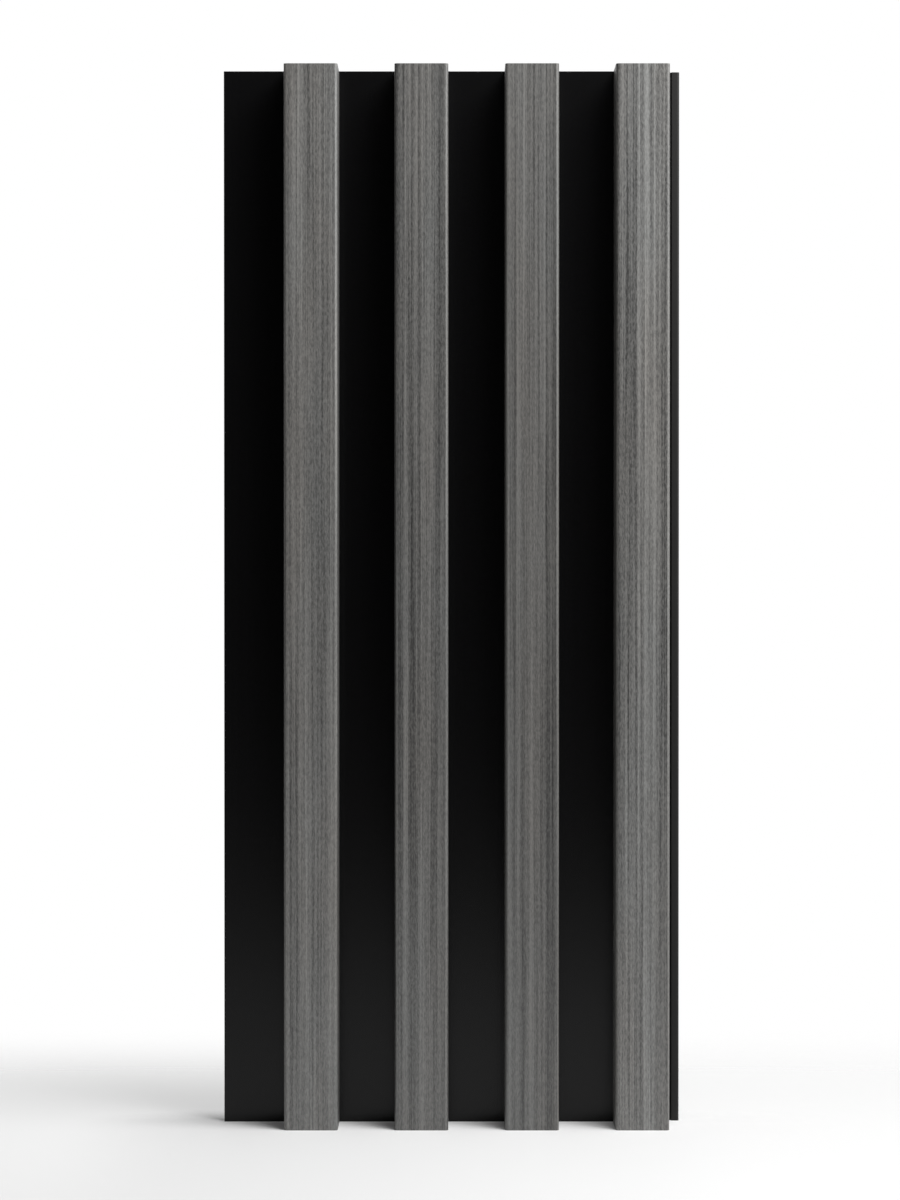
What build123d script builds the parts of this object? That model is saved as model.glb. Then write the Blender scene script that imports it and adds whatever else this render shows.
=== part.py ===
from build123d import *
import os

# A short length of hollow extruded wall panel with four fluted ribs, in millimetres.
# It stands on one cut end: +Z runs up its length, +X to the right as seen from the front,
# the ribs face -Y and the glued back faces +Y. The origin is the middle of the lower end.

# Length and ribs
panel_length = 369.0
rib_count = 4
rib_width = 18.6
rib_projection = 17.0
valley_width = 19.7
base_thickness = 7.0
rib_edge_radius = 1.1
rib_foot_radius = 0.5

# Walls of the hollow ribs
rib_side_wall = 4.0
rib_front_wall = 3.6
rib_back_wall = 3.6
chamber_radius = 2.2

# Wood-grain film laminated round each rib, stopping just short of the round at its foot
film_thickness = 0.3
film_foot_clearance = 0.1

# Interlock along the two long edges
joint_clearance = 0.2
front_jaw_thickness = 1.8
back_jaw_thickness = 1.6
jaw_tuck = 2.2
tongue_reach = 4.6
bead_radius = 0.8
bead_from_rib = 1.0
tongue_tip_radius = 0.8
groove_corner_radius = 0.6
slot_corner_radius = 0.4
jaw_tip_radius = 0.4
back_corner_radius = 0.5

# Shallow glue grooves along the back
glue_groove_width = 2.0
glue_groove_depth = 0.5
glue_groove_pitch = 6.4
glue_groove_margin = 3.0

# Places across the panel, from left to right
rib_pitch = rib_width + valley_width
flange_width = valley_width + jaw_tuck
panel_width = flange_width + (rib_count - 1) * rib_pitch + rib_width + tongue_reach
panel_left = -panel_width / 2
rib_lefts = [panel_left + flange_width + i * rib_pitch for i in range(rib_count)]
last_rib_right = rib_lefts[-1] + rib_width
tongue_tip = last_rib_right + tongue_reach
groove_end = panel_left + jaw_tuck + tongue_reach + joint_clearance
back_jaw_tip = panel_left + jaw_tuck + joint_clearance

# Levels through the panel, from front to back
panel_thickness = rib_projection + base_thickness
rib_front = -panel_thickness / 2
valley_level = rib_front + rib_projection
back_level = valley_level + base_thickness
groove_front = valley_level + front_jaw_thickness
groove_back = back_level - back_jaw_thickness
tongue_front = groove_front + joint_clearance
tongue_back = groove_back - joint_clearance


def block(left, right, front, back):
    """A rectangle of the cross-section, given by its four sides."""
    return Pos((left + right) / 2, (front + back) / 2) * Rectangle(right - left, back - front)


def round_corners(section, points, radius):
    """Round those corners of the section that lie at the given points."""
    corners = [
        corner
        for corner in section.vertices()
        if any((Vector(corner) - Vector(x, y)).length < 0.001 for x, y in points)
    ]
    return fillet(corners, radius)


def rib_outline(rib_left, inset):
    """One rib with round front edges, drawn inside its outer faces by the inset.

    It runs on into the base, where its back edge is buried.
    """
    left = rib_left + inset
    right = rib_left + rib_width - inset
    front = rib_front + inset
    outline = block(left, right, front, valley_level + base_thickness / 2)
    return round_corners(outline, [(left, front), (right, front)], rib_edge_radius - inset)


def rib_chamber(rib_left):
    """The hollow inside one rib, open at both cut ends."""
    width = rib_width - 2 * rib_side_wall
    depth = panel_thickness - rib_front_wall - rib_back_wall
    middle = rib_front + rib_front_wall + depth / 2
    return Pos(rib_left + rib_width / 2, middle) * RectangleRounded(width, depth, chamber_radius)


def ribbed_base():
    """The base with its hollow ribs and the small rounds at their feet, without an interlock.

    The last rib's right side has no round, because the slot of the interlock is cut there.
    """
    section = block(panel_left, last_rib_right, valley_level, back_level)
    feet = []
    for rib_left in rib_lefts:
        section += rib_outline(rib_left, film_thickness)
        feet.append((rib_left + film_thickness, valley_level))
        feet.append((rib_left + rib_width - film_thickness, valley_level))
    section = round_corners(section, feet[:-1], rib_foot_radius)
    for rib_left in rib_lefts:
        section -= rib_chamber(rib_left)
    return section


def add_tongue(section):
    """The right edge: a tongue set back from the valleys, beside a slot under the last rib.

    The next panel's front jaw tucks into the slot, and its bead drops into the tongue's hollow.
    """
    tongue = block(last_rib_right - jaw_tuck, tongue_tip, tongue_front, tongue_back)
    tips = [(tongue_tip, tongue_front), (tongue_tip, tongue_back)]
    tongue = round_corners(tongue, tips, tongue_tip_radius)
    slot_left = last_rib_right - jaw_tuck - joint_clearance
    slot_front = valley_level - joint_clearance
    slot = block(slot_left, last_rib_right, slot_front, tongue_front)
    slot_corners = [(slot_left, slot_front), (slot_left, tongue_front)]
    slot = round_corners(slot, slot_corners, slot_corner_radius)
    hollow_centre = Pos(last_rib_right + bead_from_rib, groove_front)
    bead_hollow = hollow_centre * Circle(bead_radius + joint_clearance)
    return section - slot + tongue - bead_hollow


def cut_edge_groove(section):
    """The left edge: a groove for the tongue, between a long front jaw and a short back jaw."""
    groove = block(panel_left, groove_end, groove_front, groove_back)
    groove_corners = [(groove_end, groove_front), (groove_end, groove_back)]
    groove = round_corners(groove, groove_corners, groove_corner_radius)
    behind_front_jaw = block(panel_left, back_jaw_tip, groove_front, back_level)
    bead = Pos(panel_left + jaw_tuck + bead_from_rib, groove_front) * Circle(bead_radius)
    section = section - groove - behind_front_jaw + bead
    front_jaw_tip = [(panel_left, valley_level), (panel_left, groove_front)]
    section = round_corners(section, front_jaw_tip, jaw_tip_radius)
    return round_corners(section, [(back_jaw_tip, groove_back)], jaw_tip_radius)


def round_back_corners(section):
    """Round the two long outer corners of the back, as they leave the die."""
    corners = [(back_jaw_tip, back_level), (last_rib_right, back_level)]
    return round_corners(section, corners, back_corner_radius)


def cut_glue_grooves(section):
    """Shallow grooves across the back face, with a land in its middle."""
    left_room = -groove_end - glue_groove_margin
    right_room = last_rib_right - glue_groove_margin
    reach = min(left_room, right_room) - glue_groove_width / 2
    groove_count = 2 * int(reach / glue_groove_pitch + 0.5)
    groove = Rectangle(glue_groove_width, glue_groove_depth)
    groove_middle = Pos(0, back_level - glue_groove_depth / 2)
    for place in GridLocations(glue_groove_pitch, 1, groove_count, 1):
        section -= place * groove_middle * groove
    return section


def make_panel_body():
    """The black extruded body, one solid cut square at both ends."""
    section = cut_edge_groove(add_tongue(ribbed_base()))
    section = cut_glue_grooves(round_back_corners(section))
    return extrude(section, panel_length)


def make_rib_film(rib_left):
    """The film round one rib: over its front, its round edges and both its sides."""
    film_end = valley_level - rib_foot_radius - film_foot_clearance
    film = rib_outline(rib_left, 0) - rib_outline(rib_left, film_thickness)
    film -= block(rib_left, rib_left + rib_width, film_end, back_level)
    return extrude(film, panel_length)


os.makedirs("parts", exist_ok=True)
export_step(make_panel_body(), "parts/panel_body.step")
for number, rib_left in enumerate(rib_lefts, start=1):
    export_step(make_rib_film(rib_left), f"parts/rib_film_{number}.step")

print(f"overall {panel_width:.1f} x {panel_thickness:.1f} x {panel_length:.1f} mm")
print(f"joined panels repeat every {rib_count * rib_pitch:.1f} mm")
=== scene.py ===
import math

import bmesh
import bpy
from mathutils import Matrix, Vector


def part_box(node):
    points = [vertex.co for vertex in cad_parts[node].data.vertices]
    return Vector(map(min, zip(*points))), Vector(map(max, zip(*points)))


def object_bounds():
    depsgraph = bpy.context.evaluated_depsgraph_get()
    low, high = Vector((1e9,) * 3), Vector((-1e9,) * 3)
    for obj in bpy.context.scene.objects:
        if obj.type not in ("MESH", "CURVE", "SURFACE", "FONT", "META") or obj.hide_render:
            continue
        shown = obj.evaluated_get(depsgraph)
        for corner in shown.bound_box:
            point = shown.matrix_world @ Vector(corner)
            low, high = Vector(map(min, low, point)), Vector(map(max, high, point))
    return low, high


# The looks of the fluted wall panel: a satin black extrusion with grey wood-grain film on its
# ribs, standing on a pale floor. Everything is in metres, in the frame of the solid model.

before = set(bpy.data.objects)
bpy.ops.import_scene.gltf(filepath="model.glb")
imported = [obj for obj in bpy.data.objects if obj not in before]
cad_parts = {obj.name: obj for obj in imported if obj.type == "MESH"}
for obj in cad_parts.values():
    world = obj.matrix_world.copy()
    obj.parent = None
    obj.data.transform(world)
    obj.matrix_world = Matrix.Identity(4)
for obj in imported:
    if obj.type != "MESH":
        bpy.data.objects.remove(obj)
cad_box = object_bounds()
panel_low, panel_high = cad_box
panel_centre = (panel_low + panel_high) / 2
film_names = sorted(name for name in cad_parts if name.startswith("rib_film"))
film_boxes = [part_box(name) for name in film_names]
last_rib_right = film_boxes[-1][1].x

# The films end a little in front of the valleys, beside the rounds at the feet of the ribs
film_end_to_valley = 0.0006
valley_level = film_boxes[0][1].y + film_end_to_valley
level_tolerance = 0.0002

# The photograph's framing, in its own pixels
photo_width = 900
photo_height = 1200
panel_width_px = 455.4
panel_centre_x_px = 451.75
panel_centre_y_px = 597.25

# The camera, in front and a little above level, with its sensor in millimetres
camera_distance = 1.066
camera_pitch = math.radians(0.5)
sensor_size = 36.0

# The black card, an arc round the panel, with its angles measured from the camera towards the
# right. It reaches below the floor, so that the panel mirrors dark where the floor has faded out.
card_radius = 1.25
card_start = math.radians(-115)
card_end = math.radians(62)
card_bottom = -0.4
card_top = 1.8
card_steps = 48

# The floor, and how far out it starts and ends its fade into the background. Depth behind the
# panel counts extra, so the fade ends sooner there.
floor_radius = 1.2
floor_sides = 96
fade_start = 0.2
fade_end = 1.0
extra_depth_behind = 3.5

# Beside and behind the panel the floor is partly see-through, which keeps the shadow light. This
# sets in over a short width, with the distance at the sides counting half, and it dies away
# towards the front.
see_through = 0.55
see_through_width = 0.03
see_through_side_factor = 0.5
see_through_front = -0.3

# How strong the room's own light is, and the background that the camera and reflections see
room_strength = 0.15
backdrop_strength = 1.0

# Factors on the film's colours, from the left rib to the right one, which make each rib about as
# light as it is in the photograph
film_shades = [1.19, 1.01, 0.86, 1.36]


def grey(level):
    """An opaque neutral colour."""
    return (level, level, level, 1)


def shaded(colour, shade):
    """An opaque colour, made lighter or darker by a factor."""
    return (*[channel * shade for channel in colour], 1)


def new_material(name):
    """An empty node material, with its principled shader linked to its output."""
    material = bpy.data.materials.new(name)
    material.use_nodes = True
    nodes = material.node_tree.nodes
    nodes.clear()
    shader = nodes.new("ShaderNodeBsdfPrincipled")
    output = nodes.new("ShaderNodeOutputMaterial")
    material.node_tree.links.new(shader.outputs["BSDF"], output.inputs["Surface"])
    return material, shader


class Graph:
    """Short calls that add and link the nodes of one material or world."""

    def __init__(self, owner):
        self.nodes = owner.node_tree.nodes
        self.links = owner.node_tree.links

    def feed(self, socket, value):
        """Link a socket to another node's output, or set it to a plain value."""
        if isinstance(value, bpy.types.NodeSocket):
            self.links.new(value, socket)
        else:
            socket.default_value = value

    def coordinates(self, output_name):
        """The object's own coordinates, or its normal."""
        return self.nodes.new("ShaderNodeTexCoord").outputs[output_name]

    def split(self, output_name):
        """The X, Y and Z of the object's own coordinates, or of its normal."""
        node = self.nodes.new("ShaderNodeSeparateXYZ")
        self.feed(node.inputs["Vector"], self.coordinates(output_name))
        return node.outputs

    def noise(self, scale, detail=2.0, offset=(0, 0, 0)):
        """Noise in the object's own space, from 0 to 1, with a scale along each axis."""
        mapping = self.nodes.new("ShaderNodeMapping")
        self.feed(mapping.inputs["Vector"], self.coordinates("Object"))
        self.feed(mapping.inputs["Scale"], scale)
        self.feed(mapping.inputs["Location"], offset)
        noise = self.nodes.new("ShaderNodeTexNoise")
        self.feed(noise.inputs["Vector"], mapping.outputs["Vector"])
        self.feed(noise.inputs["Scale"], 1.0)
        self.feed(noise.inputs["Detail"], detail)
        return noise.outputs["Fac"]

    def math(self, operation, first, second=0.0, clamp=False):
        """One step of arithmetic, kept between 0 and 1 where it is clamped."""
        node = self.nodes.new("ShaderNodeMath")
        node.operation = operation
        node.use_clamp = clamp
        self.feed(node.inputs[0], first)
        self.feed(node.inputs[1], second)
        return node.outputs[0]

    def distance(self, across, along):
        """The straight distance over two steps at right angles."""
        squares = [self.math("MULTIPLY", step, step) for step in (across, along)]
        return self.math("SQRT", self.math("ADD", *squares))

    def remap(self, value, low, high, to_low, to_high, curve="LINEAR"):
        """The value carried from one range to another, and held at the ends."""
        node = self.nodes.new("ShaderNodeMapRange")
        node.interpolation_type = curve
        self.feed(node.inputs["Value"], value)
        self.feed(node.inputs["From Min"], low)
        self.feed(node.inputs["From Max"], high)
        self.feed(node.inputs["To Min"], to_low)
        self.feed(node.inputs["To Max"], to_high)
        return node.outputs["Result"]

    def spread(self, noise, to_low, to_high):
        """The range that holds most of a noise, carried to another range."""
        return self.remap(noise, 0.3, 0.7, to_low, to_high)

    def mix_colour(self, factor, first, second):
        """The first colour where the factor is 0 and the second where it is 1."""
        node = self.nodes.new("ShaderNodeMix")
        node.data_type = "RGBA"
        self.feed(node.inputs["Factor"], factor)
        self.feed(node.inputs["A"], first)
        self.feed(node.inputs["B"], second)
        return node.outputs["Result"]

    def bump(self, height, distance):
        """The normal of a surface with a fine relief, where a height of 1 is the given distance."""
        node = self.nodes.new("ShaderNodeBump")
        self.feed(node.inputs["Distance"], distance)
        self.feed(node.inputs["Height"], height)
        return node.outputs["Normal"]


def woodgrain_film(number, shade):
    """Grey decor film of one rib: long straight streaks of several widths under a fine speckle."""
    material, shader = new_material(f"grey_woodgrain_film_{number}")
    graph = Graph(material)
    bands = graph.noise((130, 130, 1.2), detail=1.0)
    streaks = graph.noise((380, 380, 2.5), detail=1.0, offset=(3, 7, 1))
    lines = graph.noise((880, 880, 3), detail=2.0, offset=(11, 5, 2))
    fibres = graph.noise((2400, 2400, 14), detail=1.0, offset=(5, 1, 4))
    speckle = graph.noise((3200, 3200, 800), detail=1.0, offset=(1, 2, 9))
    layers = ((bands, 0.26), (streaks, 0.24), (lines, 0.50), (fibres, 0.36), (speckle, 0.44))
    tone = 0.5
    for layer, weight in layers:
        tone = graph.math("ADD", tone, graph.spread(layer, -0.5 * weight, 0.5 * weight))
    tone = graph.math("ADD", tone, 0.0, clamp=True)
    tint = graph.remap(graph.noise((70, 70, 9), offset=(2, 6, 3)), 0.35, 0.65, 0.0, 1.0)
    dark = shaded((0.0234, 0.0229, 0.0220), shade)
    warm = shaded((0.181, 0.174, 0.163), shade)
    cool = shaded((0.174, 0.175, 0.169), shade)
    colour = graph.mix_colour(tone, dark, graph.mix_colour(tint, warm, cool))
    graph.feed(shader.inputs["Base Color"], colour)
    graph.feed(shader.inputs["Roughness"], graph.spread(lines, 0.38, 0.50))
    shader.inputs["Specular IOR Level"].default_value = 1.0
    relief = graph.math("ADD", lines, graph.math("MULTIPLY", speckle, 0.5))
    graph.feed(shader.inputs["Normal"], graph.bump(relief, distance=0.00006))
    return material


def black_composite():
    """The extrusion: a satin black coating on the front, uncoated dark grey elsewhere, sawn at its
    ends; the lip right of the last rib is left uncoated and lighter as painted light.
    """
    material, shader = new_material("black_composite")
    graph = Graph(material)
    bare_roughness = 0.5
    coated_roughness = 0.26
    sawn_extra_roughness = 0.2
    die_lines = graph.noise((1800, 1800, 3), detail=3.0)
    flecks = graph.noise((2600, 2600, 2600), detail=2.0)
    saw_marks = graph.noise((1500, 90, 90), detail=2.0)
    place = graph.split("Object")
    facing = graph.split("Normal")
    faces_front = graph.math("LESS_THAN", facing["Y"], -0.5)
    in_front = graph.math("LESS_THAN", place["Y"], valley_level + level_tolerance)
    # The lip right of the last rib is kept out of the black, so it takes the lighter grey: painted
    # light, standing for the lamp that reaches the lip past the ribs.
    left_of_painted_lit_lip = graph.math("LESS_THAN", place["X"], last_rib_right)
    coated_except_painted_lip = graph.math("MULTIPLY", graph.math("MULTIPLY", faces_front, in_front), left_of_painted_lit_lip)
    sawn = graph.math("GREATER_THAN", graph.math("ABSOLUTE", facing["Z"]), 0.5)
    # Dark grey of the uncoated extrusion on its back, sides and ends; its lighter grey on the lip's
    # front is painted light.
    bare_and_painted_lit_lip = graph.mix_colour(flecks, (0.010, 0.0099, 0.0097, 1), (0.022, 0.0217, 0.0212, 1))
    black = graph.mix_colour(die_lines, (0.0034, 0.0034, 0.0035, 1), (0.0052, 0.0052, 0.0056, 1))
    sawdust = graph.spread(flecks, -0.2, 0.4)
    dusty = graph.math("ADD", graph.spread(saw_marks, 0.0, 0.7), sawdust)
    cut = graph.mix_colour(dusty, (0.012, 0.0117, 0.0113, 1), (0.050, 0.0480, 0.0455, 1))
    colour = graph.mix_colour(sawn, graph.mix_colour(coated_except_painted_lip, bare_and_painted_lit_lip, black), cut)
    graph.feed(shader.inputs["Base Color"], colour)
    extruded_roughness = graph.remap(coated_except_painted_lip, 0.0, 1.0, bare_roughness, coated_roughness)
    extra_roughness = graph.math("MULTIPLY", sawn, sawn_extra_roughness)
    graph.feed(shader.inputs["Roughness"], graph.math("ADD", extruded_roughness, extra_roughness))
    shader.inputs["Specular IOR Level"].default_value = 0.23
    sawn_relief = graph.math("MULTIPLY", graph.math("MULTIPLY", saw_marks, sawn), 2.0)
    relief = graph.math("ADD", die_lines, sawn_relief)
    graph.feed(shader.inputs["Normal"], graph.bump(relief, distance=0.00002))
    return material


def pale_floor():
    """Near-white floor that fades out into the background, far in front and soon behind the panel.

    It is partly see-through beside and behind the panel, where the shadow falls.
    """
    material, shader = new_material("pale_floor")
    graph = Graph(material)
    mottle = graph.noise((6, 6, 6), detail=3.0)
    graph.feed(shader.inputs["Base Color"], graph.mix_colour(mottle, grey(0.87), grey(0.89)))
    shader.inputs["Roughness"].default_value = 0.7
    shader.inputs["Specular IOR Level"].default_value = 0.2
    place = graph.split("Object")
    behind = graph.math("MAXIMUM", place["Y"], 0.0)
    depth = graph.math("ADD", place["Y"], graph.math("MULTIPLY", behind, extra_depth_behind))
    reach = graph.distance(place["X"], depth)
    faded = graph.remap(reach, fade_start, fade_end, 1.0, 0.0, "SMOOTHSTEP")
    past_side = graph.math("SUBTRACT", graph.math("ABSOLUTE", place["X"]), panel_high.x)
    beside = graph.math("MULTIPLY", graph.math("MAXIMUM", past_side, 0.0), see_through_side_factor)
    away = graph.distance(beside, behind)
    thinned = graph.remap(away, 0.0, see_through_width, 0.0, see_through, "SMOOTHSTEP")
    not_in_front = graph.remap(place["Y"], see_through_front, 0.0, 0.0, 1.0, "SMOOTHSTEP")
    solid = graph.math("SUBTRACT", 1.0, graph.math("MULTIPLY", thinned, not_in_front))
    graph.feed(shader.inputs["Alpha"], graph.math("MULTIPLY", faded, solid))
    return material


def black_card():
    """Matt black card, which gives next to no light back."""
    material, shader = new_material("black_card")
    graph = Graph(material)
    shade = graph.mix_colour(graph.noise((5, 5, 5)), grey(0.004), grey(0.006))
    graph.feed(shader.inputs["Base Color"], shade)
    shader.inputs["Roughness"].default_value = 1.0
    shader.inputs["Specular IOR Level"].default_value = 0.0
    return material


def add_floor():
    """The round floor that the panel stands on."""
    bpy.ops.mesh.primitive_circle_add(
        vertices=floor_sides, radius=floor_radius, fill_type="NGON", location=(0, 0, 0)
    )
    floor = bpy.context.object
    floor.name = "floor"
    floor.data.materials.append(pale_floor())


def add_black_card():
    """A curved black card round the camera and the left side, so that the panel mirrors dark there.

    Only reflections see it, so the background stays pale from every side and the floor evenly lit.
    """
    mesh = bpy.data.meshes.new("black_card")
    shape = bmesh.new()
    lower = []
    upper = []
    for i in range(card_steps + 1):
        turn = card_start + (card_end - card_start) * i / card_steps
        x = card_radius * math.sin(turn)
        y = -card_radius * math.cos(turn)
        lower.append(shape.verts.new((x, y, card_bottom)))
        upper.append(shape.verts.new((x, y, card_top)))
    for i in range(card_steps):
        shape.faces.new((lower[i], lower[i + 1], upper[i + 1], upper[i]))
    shape.to_mesh(mesh)
    shape.free()
    mesh.materials.append(black_card())
    card = bpy.data.objects.new("black_card", mesh)
    bpy.context.scene.collection.objects.link(card)
    card.visible_camera = False
    card.visible_shadow = False
    card.visible_diffuse = False


def add_softbox(name, direction, distance, width, height, level):
    """A soft area lamp that points at the panel's middle from the given direction.

    Its light alone would render a white surface that faces it at the given level.
    """
    lamp = bpy.data.lights.new(name, "AREA")
    lamp.shape = "RECTANGLE"
    lamp.size = width
    lamp.size_y = height
    lamp.energy = level * math.pi ** 2 * distance ** 2
    softbox = bpy.data.objects.new(name, lamp)
    towards = Vector(direction).normalized()
    softbox.location = panel_centre + towards * distance
    softbox.rotation_mode = "QUATERNION"
    softbox.rotation_quaternion = towards.to_track_quat("Z", "Y")
    softbox.visible_camera = False
    bpy.context.scene.collection.objects.link(softbox)


def set_world():
    """A dim even room, which the camera and reflections see as a white background."""
    world = bpy.data.worlds.new("studio")
    world.use_nodes = True
    world.node_tree.nodes.clear()
    bpy.context.scene.world = world
    graph = Graph(world)
    path = graph.nodes.new("ShaderNodeLightPath").outputs
    mirrored = graph.math("MAXIMUM", path["Is Glossy Ray"], path["Is Transmission Ray"])
    mix = graph.nodes.new("ShaderNodeMixShader")
    graph.feed(mix.inputs[0], graph.math("MAXIMUM", path["Is Camera Ray"], mirrored))
    for mixed, strength in zip(mix.inputs[1:], (room_strength, backdrop_strength)):
        background = graph.nodes.new("ShaderNodeBackground")
        graph.feed(background.inputs["Color"], grey(1))
        graph.feed(background.inputs["Strength"], strength)
        graph.feed(mixed, background.outputs[0])
    output = graph.nodes.new("ShaderNodeOutputWorld")
    graph.feed(output.inputs["Surface"], mix.outputs[0])


def add_camera():
    """A long lens in front of the panel, which lies in the frame as photographed."""
    camera = bpy.data.cameras.new("camera")
    focal_px = panel_width_px / (panel_high.x - panel_low.x) * camera_distance
    camera.sensor_width = sensor_size
    camera.lens = focal_px * sensor_size / photo_height
    camera.shift_x = (photo_width / 2 - panel_centre_x_px) / photo_height
    camera.shift_y = (panel_centre_y_px - photo_height / 2) / photo_height
    holder = bpy.data.objects.new("camera", camera)
    target = Vector((panel_centre.x, valley_level, panel_centre.z))
    back = Vector((0, -math.cos(camera_pitch), math.sin(camera_pitch)))
    holder.location = target + back * camera_distance
    holder.rotation_mode = "QUATERNION"
    holder.rotation_quaternion = back.to_track_quat("Z", "Y")
    bpy.context.scene.collection.objects.link(holder)
    bpy.context.scene.camera = holder


add_camera()
add_floor()
add_black_card()
set_world()
add_softbox("key", (1.25, -1.0, 0.45), distance=0.9, width=0.3, height=0.3, level=0.30)
add_softbox("top", (0.46, -0.38, 1.0), distance=0.64, width=0.42, height=0.4, level=1.40)

materials = {name: black_composite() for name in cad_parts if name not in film_names}
for number, (name, shade) in enumerate(zip(film_names, film_shades), start=1):
    materials[name] = woodgrain_film(number, shade)
for name, material in materials.items():
    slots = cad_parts[name].data.materials
    slots.clear()
    slots.append(material)

bpy.context.scene.view_settings.view_transform = "Standard"
